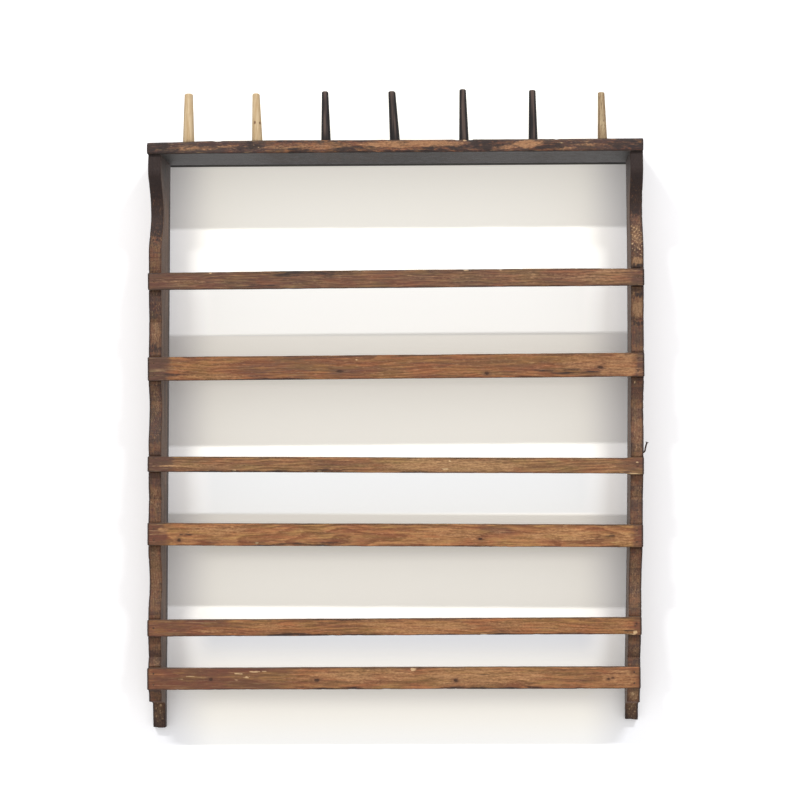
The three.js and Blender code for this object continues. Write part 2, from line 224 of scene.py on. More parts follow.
def paint(piece, name, values):
    """Keeps one number for each vertex; the two end points take their ring's mean."""
    layer = piece.data.attributes.new(name, "FLOAT", "POINT")
    ends = [values[0].mean(), values[-1].mean()]
    flat = np.concatenate([values.reshape(-1), ends]).astype(np.float32)
    layer.data.foreach_set("value", flat)


def corner(points, way):
    return points[np.argmax(points @ np.array(way, float))]


def vertices(node):
    """The places of a node's vertices in millimetres."""
    mesh = NODES[node].data
    flat = np.zeros(len(mesh.vertices) * 3, np.float32)
    mesh.vertices.foreach_get("co", flat)
    return flat.reshape(-1, 3).astype(float) / MM


def plank_frame(node):
    """Where a plank lies: a matrix with X along it, Y to the wall and Z up, and its size."""
    points = vertices(node)
    left_top = corner(points, (-1, 1, 1))
    along = corner(points, (1, 1, 1)) - left_top
    up = left_top - corner(points, (-1, 1, -1))
    along /= np.linalg.norm(along)
    up -= along * (up @ along)
    up /= np.linalg.norm(up)
    axes = np.stack([along, np.cross(up, along), up])
    local = points @ axes.T
    middle = (local.min(0) + local.max(0)) / 2
    size = local.max(0) - local.min(0)
    place = Matrix(axes.T.tolist()).to_4x4()
    place.translation = Vector(middle @ axes) * MM
    return place, size, (middle @ axes)


# ---- marks of age

NO_MARK = 6.0  # farther from a mark than its halo reaches


class Marks:
    """What wear has left on a piece: marks at places along it and across its face.

    A mark is (kind, along, across, half length, half width, strength). Along is in
    millimetres from the rack's middle, or down from the top on a side board, and
    across runs from -1 to 1 over the face.
    """

    def __init__(self, marks, along, across, reach, noise):
        self.marks, self.along, self.across = marks, along, across
        self.reach, self.noise = reach, noise

    def filled(self, value):
        return np.full(np.broadcast(self.along, self.across).shape, value)

    def of(self, kind):
        """Each mark of a kind: its number, strength and half width, and how far every
        point lies from its middle along and across, where 1 is the mark's edge."""
        for number, (what, a, c, half_a, half_c, strength) in enumerate(self.marks):
            if what == kind:
                off_along = (self.along - a) / half_a
                off_across = (self.across - c) * self.reach / half_c
                yield number, strength, half_c, off_along, off_across

    def total(self, kind, soft=1.0):
        """How strong the marks of a kind are, with ragged edges as wide as soft says."""
        out = self.filled(0.0)
        for number, strength, _, da, dc in self.of(kind):
            ragged = 0.35 * self.noise(da * 2.3 + number, dc * 2.1, number * 1.7)
            away = np.sqrt(da * da + dc * dc) + ragged
            out = np.maximum(out, strength * smoothstep(-away, -1 - soft / 2, -1 + soft / 2))
        return out

    def nearest(self, kind):
        """Distance to the nearest mark's middle, where 1 is its edge."""
        out = self.filled(NO_MARK)
        for _, _, _, da, dc in self.of(kind):
            out = np.minimum(out, np.sqrt(da * da + dc * dc))
        return out

    def bend(self, kind):
        """How far the grain steps aside round knots, in millimetres."""
        out = self.filled(0.0)
        for _, _, half_width, da, dc in self.of(kind):
            out += 1.5 * half_width * np.tanh(dc) * np.exp(-((da / 3.2) ** 2) - (dc / 3) ** 2)
        return out


def dress(piece, marks, facing, arris, ends, chipped, shown=1.0):
    """The numbers that the wood's material reads at each vertex; shown fades the marks."""
    fresh = np.maximum(chipped, marks.total("fresh", 0.6) * facing)
    for name, values in (("face", facing), ("arris", arris), ("ends", ends), ("fresh", fresh),
                         ("knot", marks.nearest("knot")), ("bend", marks.bend("knot"))):
        paint(piece, name, values)
    for kind in ("stain", "soot", "worn"):
        paint(piece, kind, marks.total(kind) * shown)


# ---- shader helpers


class Nodes:
    """Builds shader nodes; each method gives the socket it made."""

    def __init__(self, tree):
        self.tree = tree

    def node(self, kind, inputs, **settings):
        made = self.tree.nodes.new("ShaderNode" + kind)
        for key, value in settings.items():
            setattr(made, key, value)
        for key, value in inputs.items():
            self.feed(made.inputs[key], value)
        return made

    def feed(self, socket, value):
        if isinstance(value, bpy.types.NodeSocket):
            self.tree.links.new(value, socket)
        else:
            socket.default_value = value

    def math(self, operation, a, b=0.0, clamp=False):
        made = self.node("Math", {0: a, 1: b}, operation=operation, use_clamp=clamp)
        return made.outputs[0]

    def add(self, first, *others):
        for other in others:
            first = self.math("ADD", first, other)
        return first

    def times(self, a, b):
        return self.math("MULTIPLY", a, b)

    def flip(self, value, clamp=False):
        """What the value leaves of 1."""
        return self.math("SUBTRACT", 1.0, value, clamp=clamp)

    def size(self, value):
        return self.math("ABSOLUTE", value)

    def distance(self, a, b):
        return self.math("SQRT", self.add(self.times(a, a), self.times(b, b)))

    def vector(self, x, y, z):
        return self.node("CombineXYZ", {0: x, 1: y, 2: z}).outputs[0]

    def places(self):
        """The object's own x, y and z in millimetres."""
        where = self.node("TexCoord", {}).outputs["Object"]
        scaled = self.node("VectorMath", {0: where, 3: 1000.0}, operation="SCALE").outputs[0]
        return self.node("SeparateXYZ", {0: scaled}).outputs

    def noise(self, vector, detail=2.0, rough=0.55, distort=0.0):
        inputs = {"Vector": vector, "Scale": 1.0, "Detail": detail, "Roughness": rough,
                  "Distortion": distort}
        return self.node("TexNoise", inputs).outputs["Fac"]

    def grain(self, places, sizes, **options):
        """Noise whose lumps have these sizes along the three places."""
        scaled = [self.times(place, 1 / size) for place, size in zip(places, sizes)]
        return self.noise(self.vector(*scaled), **options)

    def mark(self, name):
        return self.node("Attribute", {}, attribute_name=name).outputs["Fac"]

    def smooth(self, value, low, high):
        inputs = {0: value, 1: low, 2: high, 3: 0.0, 4: 1.0}
        return self.node("MapRange", inputs, interpolation_type="SMOOTHSTEP").outputs[0]

    def mix(self, factor, a, b, blend="MIX"):
        made = self.node("Mix", {0: factor, 6: a, 7: b}, data_type="RGBA", blend_type=blend)
        return made.outputs[2]

    def span(self, value, low, high, start, end):
        """The value, with low to high stretched to start to end."""
        return self.node("MapRange", {0: value, 1: low, 2: high, 3: start, 4: end}).outputs[0]

    def cover(self, colour, tint, strength, mask, *limits, blend="MIX"):
        """The colour with a tint over it where the mask is, or passes its limits."""
        if limits:
            mask = self.smooth(mask, *limits)
        return self.mix(self.times(mask, strength), colour, tint, blend)

    def shaded(self, colour, red, green, blue):
        return self.mix(1.0, colour, self.vector(red, green, blue), "MULTIPLY")

    def bump(self, height, distance, strength, under=None):
        inputs = {"Height": height, "Distance": distance * MM, "Strength": strength}
        if under is not None:
            inputs["Normal"] = under
        return self.node("Bump", inputs).outputs[0]

    def sees_white(self):
        """1 for what sees the background white: the camera, gloss and glass."""
        rays = self.node("LightPath", {}).outputs
        seen = rays["Is Camera Ray"]
        for ray in ("Is Glossy Ray", "Is Transmission Ray"):
            seen = self.math("MAXIMUM", seen, rays[ray])
        return seen


class Paint(Nodes):
    """The nodes of one material."""

    def __init__(self, name):
        self.material = bpy.data.materials.new(name)
        self.material.use_nodes = True
        super().__init__(self.material.node_tree)
        self.shader = self.tree.nodes["Principled BSDF"]

    def finish(self, **inputs):
        """Sets the shader's own inputs, with _ for a space, and gives the material."""
        for key, value in inputs.items():
            self.feed(self.shader.inputs[key.replace("_", " ")], value)
        return self.material


# ---- wood

# Colours of the wood as they look in plain light.
STAIN = srgb(91, 63, 51)
RED_STAIN = srgb(104, 66, 50)
DARK_STAIN = srgb(66, 50, 46)
SOOT = srgb(44, 34, 32)
PALE = srgb(206, 172, 130)
KNOT = srgb(60, 38, 28)
SCRATCH = srgb(172, 140, 102)
RED_CAST, OLIVE_CAST = (1.04, 0.78, 0.84, 1.0), (0.9, 1.14, 0.94, 1.0)
# Painted shade for the faces turned away from the room: the rails' upper and lower faces (dust too on
# the upper ones), the top board's underside and the side boards' inner faces.
EDGE_DUST_AND_SHADE = (srgb(74, 56, 47), srgb(96, 78, 66))  # rails' faces turned to other rails
UNDER_TOP = (srgb(28, 23, 20), srgb(48, 42, 37))
INNER_FACE = (srgb(48, 33, 25), srgb(116, 88, 67))
WOOD_GLOSS = 0.25
SWAY = 26.0  # how far the year rings of most planks wander


def wood(name, grain, seed, centre, pith, spacing, colours, stained, turned, dash=1.0,
         sawn=0.0, sway=SWAY):
    """Old stained pine.

    grain is the axis that the fibres follow, and centre the plank's middle across
    it. pith is where the middle of the tree lay from there, and spacing the width
    of a year's growth. colours are the bare wood's light and dark and the old
    finish; stained says how much finish is left, turned colours paint shade on
    the faces that don't look to the room, dash shortens the streaks, sawn is the
    strength of the bands that a saw left across the grain, and sway is how far the rings wander.
    """
    p = Paint(name)
    light, dark, finish = colours
    x, y, z = p.places()
    along, side, up = {"X": (x, y, z), "Z": (z, y, x)}[grain]
    along = p.add(along, seed * 517.0)
    side, up = p.add(side, -centre[0]), p.add(up, -centre[1])

    def stretched(length, width, shift=0.0, **options):
        """Noise drawn out along the fibres; shift takes it from another place."""
        places = along, p.add(side, seed * 41.0), p.add(up, shift)
        return p.grain(places, (length, width, width), **options)

    def centred(value, scale):
        return p.times(p.add(value, -0.5), scale)

    # year rings round a pith that wanders along the plank
    far_side = p.add(side, centred(stretched(300, 700, seed), sway), pith[0])
    far_up = p.add(up, centred(stretched(210, 600, seed + 900), sway), pith[1], p.mark("bend"))
    uneven = centred(stretched(130, 14, seed + 40), 1.5)
    year = p.math("FRACT", p.add(p.times(p.distance(far_side, far_up), 1 / spacing), uneven))
    ring = p.times(p.smooth(year, 0.2, 0.86), p.flip(p.smooth(year, 0.9, 1.0)))

    fibre = stretched(20 * dash, 1.5, detail=3.0, rough=0.7)
    streak = stretched(60 * dash, 3.2, 20, detail=4.0, rough=0.66)
    band = stretched(150 * dash, 8.5, 45, detail=3.0, rough=0.6)
    blotch = stretched(40 * dash, 13 * dash**0.7, 70, detail=4.0, rough=0.62)
    speck = stretched(5.0, 2.2, 130, detail=3.0, rough=0.6)
    fleck = stretched(12 * dash, 2.4, 210, detail=3.0, rough=0.6)
    hair = stretched(75 * dash, 1.9, 470, detail=2.0, rough=0.6)

    # bare wood: rings, then darker streaks and redder bands
    bare = p.cover(light, dark, 0.8, ring)
    bare = p.cover(bare, dark, 0.75, streak, 0.44, 0.6)
    bare = p.cover(bare, finish, 0.45, band, 0.46, 0.64)
    bare = p.cover(bare, finish, 0.55, fibre, 0.54, 0.68)
    bare = p.cover(bare, p.mix(0.3, light, PALE), 0.5, fleck, 0.56, 0.7)
    bare = p.cover(bare, finish, 0.6, hair, 0.6, 0.68)

    # old finish, left in the pores and rubbed off in streaks
    rubbed = p.add(centred(blotch, 1.5), centred(streak, 1.6), centred(fibre, 1.1),
                   centred(speck, 0.9))
    film = p.smooth(p.add(p.mark("stain"), stained, rubbed), -0.05, 1.15)
    thick = p.mix(p.smooth(speck, 0.45, 0.75), finish, p.mix(0.4, finish, SOOT))
    thick = p.cover(thick, dark, 0.45, fleck, 0.55, 0.72)
    thick = p.cover(thick, SCRATCH, 0.5, hair, 0.4, 0.33)
    colour = p.mix(film, bare, thick)
    # some stretches have gone redder with age, and others greener
    cast = stretched(70 * dash**0.5, 13, 610, detail=3.0, rough=0.6)
    colour = p.cover(colour, RED_CAST, 0.45, cast, 0.5, 0.62, blend="MULTIPLY")
    colour = p.cover(colour, OLIVE_CAST, 0.4, cast, 0.5, 0.38, blend="MULTIPLY")

    if sawn:
        wide_cut = p.grain((along, side, up), (17, 90, 90), detail=3.0, rough=0.7)
        thin_cut = p.grain((along, side, up), (3.4, 40, 40), detail=2.0, rough=0.6)
        colour = p.cover(colour, finish, sawn, wide_cut, 0.5, 0.56)
        colour = p.cover(colour, light, sawn * 0.7, wide_cut, 0.46, 0.4)
        colour = p.cover(colour, SOOT, sawn * 0.6, thin_cut, 0.55, 0.65)

    # rubbed patches and fresh chips
    rub = p.add(p.mark("worn"), centred(speck, 1.0), centred(streak, 2.2), centred(fibre, 1.2))
    pale = p.cover(p.mix(0.22, light, PALE), light, 0.4, ring)
    colour = p.cover(colour, pale, 0.85, rub, 0.2, 1.15)
    fresh = p.smooth(p.add(p.mark("fresh"), centred(speck, 0.7)), 0.35, 0.8)
    colour = p.cover(colour, PALE, 0.8, fresh)

    # soot and dirt in marks; dirt with painted shade on the arrises; painted shade
    # (dust too on the rails' upper faces) on the faces turned away; at the ends, dark
    # end grain, and painted shade along the wall and under the top board
    # dirt and painted shade along the arrises
    edge_dirt_and_shade = p.smooth(p.add(p.mark("arris"), centred(streak, 1.7)), 0.3, 0.95)
    colour = p.cover(colour, SOOT, 0.72, edge_dirt_and_shade)
    dirt = p.add(p.mark("soot"), centred(streak, 2.0), centred(blotch, 1.6))
    colour = p.cover(colour, SOOT, 0.9, dirt, 0.32, 0.95)
    # painted shade on the faces turned away from the room
    away = p.flip(p.mark("face"), clamp=True)
    line = stretched(130, 2.6, 330, detail=3.0, rough=0.6)
    colour = p.cover(colour, p.mix(p.smooth(line, 0.4, 0.56), *turned), 0.88, away)
    colour = p.cover(colour, SOOT, 0.9, p.mark("ends"))

    # knots, ringed dark
    off = p.add(p.mark("knot"), centred(speck, 0.6))
    heart, halo = p.flip(p.smooth(off, 0.5, 1.2)), p.flip(p.smooth(off, 1.0, 2.6))
    colour = p.cover(colour, finish, 0.4, halo)
    colour = p.cover(colour, KNOT, 0.9, heart)

    # fine fibres and pores
    shade = p.times(p.span(fibre, 0.3, 0.7, 0.72, 1.28), p.span(speck, 0.3, 0.7, 0.84, 1.16))
    worn_smooth = p.add(film, p.times(fibre, 0.6))
    relief = p.add(p.times(fibre, 0.7), p.times(ring, 0.35), p.times(speck, 0.3))
    return p.finish(
        Base_Color=p.shaded(colour, shade, shade, shade), Specular_IOR_Level=WOOD_GLOSS,
        Roughness=p.span(worn_smooth, 0.2, 1.4, 0.74, 0.52),
        Normal=p.bump(heart, -0.8, 0.6, p.bump(relief, 0.5, 0.55)),
    )


SPOT_SIZE, GRIT_SIZE = 1 / 0.9, 0.25  # of the rust


def iron(name, dark, rust):
    p = Paint(name)
    places = p.places()
    spots = p.grain(places, [SPOT_SIZE] * 3, detail=4.0, rough=0.65)
    grit = p.grain(places, [GRIT_SIZE] * 3, detail=3.0)
    return p.finish(
        Base_Color=p.mix(p.smooth(spots, 0.4, 0.62), dark, rust), Metallic=0.35, Roughness=0.72,
        Normal=p.bump(p.add(spots, p.times(grit, 0.6)), 0.4, 0.7),
    )


# ---- rails, shelves, top

NAIL_FROM_END = 12  # where the nails sit in a rail
NAIL_SUNK = 0.55
# What a plank is unless its own facts say otherwise: how far its ends are rounded
# and its edges wave, the radius of its arrises, and what is on it.
PLANK = dict(end_round=1.6, wave=0.45, arris=1.7, nails=(), chips=[], marks=[])


def rounded_end(distance, radius):
    """How far a surface has drawn in at a distance from a rounded end."""
    return radius - np.sqrt(np.maximum(radius**2 - np.maximum(radius - distance, 0) ** 2, 0))


def near_arris(depth_in, rise, reach):
    """1 on the arrises of a front face, fading with the distance from the face and along it."""
    return np.exp(-np.maximum(depth_in, 0) / reach) * np.exp(-np.maximum(rise, 0) / 2.6)


def worn_plank(name, node, spec, material, slot, coarse=3.0, counts=(3, 15, 3, 3)):
    """A plank along X with hand-planed faces, rounded arrises, chips and sunk nails."""
    spec = PLANK | spec
    place, (length, thick, height), middle = plank_frame(node)
    seed, noise = spec["seed"], Noise(spec["seed"])
    s = stations(length, coarse)
    from_middle = s - length / 2
    at = from_middle + middle[0]
    wander = s + seed * 1000.0
    near_end = np.minimum(s, length - s)
    inset = rounded_end(near_end, spec["end_round"])
    top = height / 2 - spec["wave"] * noise.positive(wander / 90) - inset * 0.8
    top -= 0.25 * noise.positive(wander / 11, 5)
    low = -height / 2 + spec["wave"] * noise.positive(wander / 80, 9) + inset * 0.8
    low += 0.3 * noise.positive(wander / 13, 14)
    front = -thick / 2 + 0.08 + 0.2 * noise.positive(wander / 60, 21) + inset
    back = np.full(len(s), thick / 2) - inset * 0.5
    if "shape" in spec:
        top, low = spec["shape"](at, top, low)

    soft = [spec["arris"] * (1 + 0.5 * noise(wander / 35, 30 + i)) + inset * 0.6 for i in (0, 1)]
    sharp = np.full(len(s), 0.7)
    # sections run in (depth, height): the front is the low side of the depth
    radii = np.stack([soft[0], sharp, sharp, soft[1]], 1)
    low_corner, high_corner = np.stack([front, low], 1), np.stack([back, top], 1)
    points, ways = sections(low_corner, high_corner, radii, counts)

    along, up = at[:, None], points[..., 1]
    across = up / (height / 2)
    depth_in = points[..., 0] - front[:, None]
    rise = np.minimum(up - low[:, None], top[:, None] - up)
    facing = smoothstep(-ways[..., 0], 0.25, 0.85)
    arris = near_arris(depth_in, rise, 2.2)

    # small hand-plane facets, rubbed arrises, chips and sunk nails, all cut inwards
    cut = 0.12 * noise.positive(along / 18 + seed * 31, across * 2.2, depth_in / 9)
    nibble = noise(along / 6.5 + seed * 77, up / 7, depth_in / 7)
    cut += smoothstep(nibble, 0.42, 0.85) * arris
    chipped = 0.55 * smoothstep(nibble, 0.66, 0.9) * arris
    for a, c, half_a, half_c, depth in spec["chips"]:
        away = np.sqrt(
            ((along - a) / half_a) ** 2 + ((across - c) * height / 2 / half_c) ** 2
            + (depth_in / 6) ** 2
        )
        cut += depth * (1 - smoothstep(away, 0.3, 1.0))
    for sign in (-1, 1):
        nail_at = middle[0] + sign * (length / 2 - NAIL_FROM_END)
        for share in spec["nails"]:
            away = np.hypot(along - nail_at, up - share * height)
            cut += NAIL_SUNK * (1 - smoothstep(away, 1.8, 5.0)) * facing
    points = points - ways * cut[..., None]

    lengthwise = np.broadcast_to(from_middle[:, None], across.shape)
    piece = skin(name, np.stack([lengthwise, points[..., 0], points[..., 1]], 2), place)
    marks = Marks(spec["marks"], along, across, height / 2, noise)
    ends = (1 - smoothstep(near_end, 1.4, 5.0))[:, None] * np.ones_like(across)
    # painted shade on the faces near the wall, along the plank's back
    if "painted_shade_back" in spec:
        dark_from = thick - spec["painted_shade_back"]
        ends = np.maximum(ends, smoothstep(depth_in, dark_from, dark_from + 9))
    dress(piece, marks, facing, arris, ends, chipped)
    finish_piece(piece, material, slot, node)


def finish_piece(piece, material, slot, *nodes):
    piece.data.materials.append(material)
    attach(piece, "root")
    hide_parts(*nodes)


def arched(at, top, low):
    """The first rail bows up in the middle and drops at its right end."""
    return top + 1.2 * np.cos(at / 320) - 1.1 * smoothstep(at, 330, 470), low


def flared(at, top, low):
    """The split right end of a rail, a little wider than the rest."""
    wide = smoothstep(at, 425, 440)
    return top + 1.3 * wide, low - 1.6 * wide


# Each rail as seen from the front. A chip is a knocked-off corner: (along, across,
# half length, half width, depth). Along is from the rack's middle.
RAILS = {
    "plate_rail_1": dict(seed=1, stained=0.34, spacing=3.8, pith=(34, 26),
        colours=(srgb(148, 106, 74), srgb(96, 64, 46)), shape=arched,
        chips=[(132, 1, 7, 3, 1.4), (196, 1, 5, 2.4, 1.1), (-300, -1, 8, 3, 0.9)],
        marks=[
        ("stain", -420, 0, 70, 26, 0.55), ("stain", -250, 0, 150, 26, 0.35),
        ("stain", 30, 0.3, 60, 12, 0.4), ("stain", 130, 0, 70, 26, 0.25),
        ("worn", -400, -0.1, 50, 3, 0.6), ("worn", -160, 0.3, 40, 3, 0.6),
        ("worn", 180, 0.2, 170, 8, 0.35), ("worn", 405, 0.7, 35, 5, 0.7),
        ("stain", 452, -0.3, 14, 14, 0.7), ("worn", 380, 0, 60, 12, 0.5), ("soot", 466, 0, 5, 20, 1.2),
        ("soot", -185, 0.9, 80, 4, 0.75), ("soot", -250, -0.5, 34, 4, 0.6),
        ("soot", -205, 0.5, 26, 5, 0.6), ("soot", -335, 0.5, 30, 4, 0.55),
        ("soot", -120, 0.6, 24, 4, 0.5), ("fresh", 132, 0.95, 5, 2, 1), ("fresh", 196, 0.92, 3, 1.6, 1),
        ("fresh", -345, 0.9, 3, 1.5, 0.8)]),
    "shelf_rail_1": dict(seed=2, stained=0.02, spacing=4.2, pith=(38, -24),
        colours=(srgb(153, 105, 67), srgb(116, 75, 48)),
        chips=[(-40, 1, 10, 3, 1.0), (300, -1, 14, 3, 1.1), (-290, -1, 9, 3, 1.2)],
        marks=[
        ("stain", -446, 0, 26, 40, 1.25), ("worn", -375, 0.1, 60, 10, 0.3),
        ("soot", -405, -0.4, 30, 4, 0.5), ("soot", -360, 0.4, 26, 3, 0.45),
        ("worn", -330, -0.7, 70, 5, 0.7), ("soot", -235, -0.95, 70, 4, 0.7),
        ("stain", -215, -0.1, 90, 20, 0.5), ("knot", -104, -0.35, 8, 3, 0.8),
        ("stain", -104, -0.3, 40, 9, 0.6), ("knot", 170, -0.6, 5.5, 3.6, 1),
        ("soot", 310, -0.55, 62, 4, 0.8), ("worn", 350, 0.2, 44, 14, 0.6),
        ("knot", 381, -0.2, 6.5, 3, 1), ("worn", 415, -0.1, 36, 22, 0.8), ("stain", 458, 0, 12, 40, 1.0),
        ("soot", 464, 0, 7, 30, 0.4), ("fresh", -72, 0.62, 2.5, 1.6, 0.9)]),
    "plate_rail_2": dict(seed=3, stained=-0.04, spacing=4.0, pith=(30, 22),
        colours=(srgb(158, 117, 78), srgb(112, 77, 50)), shape=flared,
        chips=[(-301, -1, 7, 4, 1.6), (91, -0.6, 9, 3, 0.9), (-142, -1, 9, 4, 1.4)],
        marks=[
        ("stain", -448, 0, 30, 30, 1.3), ("worn", -385, -0.2, 70, 4, 0.6),
        ("stain", -330, 0.2, 110, 16, 0.3), ("worn", 175, 0, 70, 12, 0.75),
        ("stain", 440, 0.8, 30, 3, 0.7), ("soot", 432, -0.72, 18, 1.8, 0.8),
        ("soot", -320, -0.95, 110, 3.5, 0.95), ("soot", -130, -0.75, 50, 4, 0.7),
        ("soot", -215, -0.95, 80, 4, 0.8), ("worn", 90, 0, 110, 12, 0.7),
        ("fresh", -301, -0.75, 4, 2, 1), ("fresh", -142, -0.8, 6, 2, 0.9), ("fresh", 91, -0.45, 7, 2, 1),
        ("soot", 42, -0.95, 34, 4, 0.9), ("fresh", 101, 0.55, 2.5, 1.5, 1),
        ("worn", 415, 0.1, 30, 8, 0.3), ("fresh", 449, 0.45, 2.4, 2.4, 0.9),
        ("fresh", 438, -1.0, 16, 1.8, 0.9), ("stain", 450, 0, 34, 30, 0.7)]),
    "shelf_rail_2": dict(seed=4, stained=0.0, spacing=5.0, pith=(48, 12),
        colours=(srgb(170, 121, 77), srgb(117, 74, 46)), sway=40.0, finish=RED_STAIN,
        chips=[(-259, -0.85, 6, 4, 1.2), (-80, -1, 16, 3, 1.2), (260, -1, 12, 3, 1.0)],
        marks=[
        ("stain", -452, -0.1, 24, 44, 1.1), ("worn", -434, 0.35, 14, 5, 0.9),
        ("knot", -405, -0.5, 4.2, 4.0, 1), ("soot", -388, 0.05, 16, 3.4, 0.9),
        ("worn", -330, 0.4, 60, 10, 0.7), ("fresh", -259, -0.72, 4, 2, 1),
        ("soot", -235, -0.85, 44, 6, 0.8), ("soot", -150, -0.8, 60, 4, 0.6),
        ("stain", 190, 0.5, 34, 9, 0.8), ("knot", 157, -0.3, 5, 2.8, 0.8),
        ("worn", 110, 0.2, 90, 12, 0.55), ("worn", 320, 0.1, 70, 14, 0.7),
        ("soot", 398, 0.1, 14, 4, 0.45), ("worn", 425, -0.3, 18, 14, 0.6),
        ("stain", 455, 0.1, 15, 40, 1.15), ("soot", 464, 0, 7, 30, 0.4)]),
    "plate_rail_3": dict(seed=5, stained=-0.04, spacing=4.0, pith=(32, -20),
        colours=(srgb(161, 111, 69), srgb(117, 77, 47)), shape=flared, finish=RED_STAIN,
        chips=[(163, -1, 9, 3, 1.3), (260, -1, 7, 3, 1.1), (-120, -1, 8, 3, 1.2)],
        marks=[
        ("stain", -410, 0, 90, 34, 0.8), ("worn", -350, -0.3, 26, 4, 0.7),
        ("soot", 430, -0.6, 16, 1.8, 0.75), ("fresh", 433, -0.98, 14, 1.8, 0.8),
        ("worn", -240, 0.1, 40, 8, 0.6), ("soot", -180, -0.95, 90, 4, 0.9),
        ("soot", -70, -0.95, 60, 3, 0.8), ("worn", 60, 0, 130, 13, 0.75),
        ("soot", 70, -0.95, 60, 3.2, 0.8), ("worn", 250, 0, 120, 12, 0.5),
        ("soot", 235, -0.95, 80, 3.2, 0.8), ("fresh", 163, -0.9, 7, 1.6, 1),
        ("worn", 415, 0, 24, 12, 0.5), ("stain", 454, 0, 18, 30, 0.6), ("knot", 446, 0.25, 2.6, 2.4, 1),
        ("fresh", 444, -0.75, 4, 3, 1)]),
    "shelf_rail_3": dict(seed=6, stained=-0.06, spacing=5.0, pith=(44, 20),
        colours=(srgb(159, 111, 71), srgb(114, 77, 49)), finish=RED_STAIN,
        chips=[(32, 1, 9, 4, 1.6), (-82, -1, 10, 4, 1.5), (-20, -1, 9, 3, 1.2)],
        marks=[
        ("stain", -360, 0, 145, 44, 0.92), ("knot", -346, -0.05, 4.5, 3.6, 1),
        ("fresh", -385, 0.25, 9, 1.5, 0.8), ("fresh", -402, 0, 6, 1.5, 0.7),
        ("fresh", -294, 0.45, 9, 1.5, 1.0), ("fresh", -280, 0.15, 8, 1.5, 0.9),
        ("fresh", -299, -0.05, 6, 1.4, 0.8), ("fresh", -264, 0.62, 11, 1.5, 1.0),
        ("fresh", -246, 0.68, 6, 1.4, 0.8), ("stain", -230, 0.7, 50, 10, 0.6),
        ("knot", -148, -0.15, 6.5, 3.6, 1), ("soot", -110, -0.9, 80, 3.4, 0.85),
        ("worn", -60, 0.3, 110, 12, 0.7), ("fresh", 32, 0.8, 7, 3, 0.9),
        ("worn", 150, 0.2, 120, 16, 0.8), ("knot", 111, -0.2, 5.2, 4.2, 0.9),
        ("soot", 190, -0.95, 150, 4, 0.85), ("soot", 195, 0.35, 30, 4, 0.6),
        ("knot", 394, -0.1, 3.6, 2.6, 1), ("knot", 402, -0.02, 3, 2.2, 1),
        ("worn", 415, 0.1, 30, 16, 0.7), ("stain", 460, 0, 15, 40, 0.5)]),
}


def make_rails():
    for node, facts in RAILS.items():
        wide = node.startswith("shelf")
        spec = facts | {"nails": (-0.25, 0.25) if wide else (0,)}
        material = wood(
            "wood_" + node, "X", spec["seed"], plank_frame(node)[2][1:], spec["pith"],
            spec["spacing"], (*spec["colours"], spec.get("finish", STAIN)), spec["stained"],
            EDGE_DUST_AND_SHADE, sway=spec.get("sway", SWAY),
        )
        counts = (3, 3, 3, 15) if wide else (3, 3, 3, 11)
        worn_plank("worn_" + node, node, spec, material, "rail_wood", counts=counts)


def make_shelves():
    for number in (1, 2, 3):
        node = f"shelf_{number}"
        spec = dict(seed=20 + number, arris=1.0, wave=0.4, end_round=0.8, marks=[
            ("soot", -200 + 150 * number, 0.2, 120, 20, 0.7),
            ("worn", 260 - 180 * number, 0, 150, 20, 0.5),
        ])
        material = wood(
            "wood_" + node, "X", 20 + number, plank_frame(node)[2][1:], (30, 40 - 9 * number),
            4.6, (srgb(128, 92, 66), srgb(96, 66, 48), DARK_STAIN), 0.35, EDGE_DUST_AND_SHADE,
        )
        worn_plank("worn_" + node, node, spec, material, "shelf_wood", 5.0, (14, 3, 14, 3))


TOP_DROOP = 2.4  # how far the top board's upper edge has worn down at its left end
TOP_RISE = 1.0  # and how far it bows up left of the middle
TOP_MARKS = [
    ("stain", -350, 0, 150, 20, 0.6), ("stain", 190, 0, 110, 20, 0.4), ("stain", 390, 0, 110, 20, 0.45),
    ("fresh", 131, 0.8, 5, 1.6, 0.9), ("soot", 143, 0.6, 7, 3, 1.0), ("soot", -440, -0.3, 40, 16, 0.7),
    ("soot", 20, -0.85, 110, 2.4, 0.9), ("soot", -130, 0.85, 120, 2.0, 0.7),
    ("fresh", -263, 0.3, 2.2, 1.3, 0.9), ("fresh", -254, -0.1, 1.9, 1.3, 0.85),
    ("fresh", -246, 0.4, 1.9, 1.2, 0.8), ("fresh", -271, -0.3, 2.0, 1.2, 0.75),
    ("fresh", 311, 0.3, 2.2, 1.3, 0.8), ("fresh", 303, -0.2, 2.0, 1.2, 0.8),
    ("fresh", -418, 0.2, 2.4, 1.2, 0.6), ("worn", -375, -0.2, 50, 4, 0.7),
    ("worn", -290, 0.1, 40, 3, 0.6), ("soot", -270, 0.2, 30, 7, 0.8), ("worn", -215, -0.1, 36, 4, 0.6),
    ("soot", -175, -0.7, 26, 6, 0.9), ("worn", -150, 0, 80, 6, 0.6), ("soot", -90, -0.6, 22, 6, 0.9),
    ("soot", -60, -0.1, 30, 3, 0.7), ("worn", -10, 0.3, 60, 6, 0.9), ("soot", -8, -0.8, 40, 4, 0.8),
    ("worn", 70, 0.4, 60, 7, 1.0), ("soot", 90, -0.4, 50, 6, 0.7), ("soot", 170, 0, 34, 10, 0.9),
    ("worn", 205, -0.3, 30, 4, 0.8), ("worn", 250, 0.2, 30, 7, 1.0), ("soot", 290, -0.2, 26, 8, 0.9),
    ("worn", 315, -0.5, 22, 3, 0.8), ("worn", 375, 0, 46, 3, 0.6), ("soot", 440, 0, 50, 16, 0.8),
]
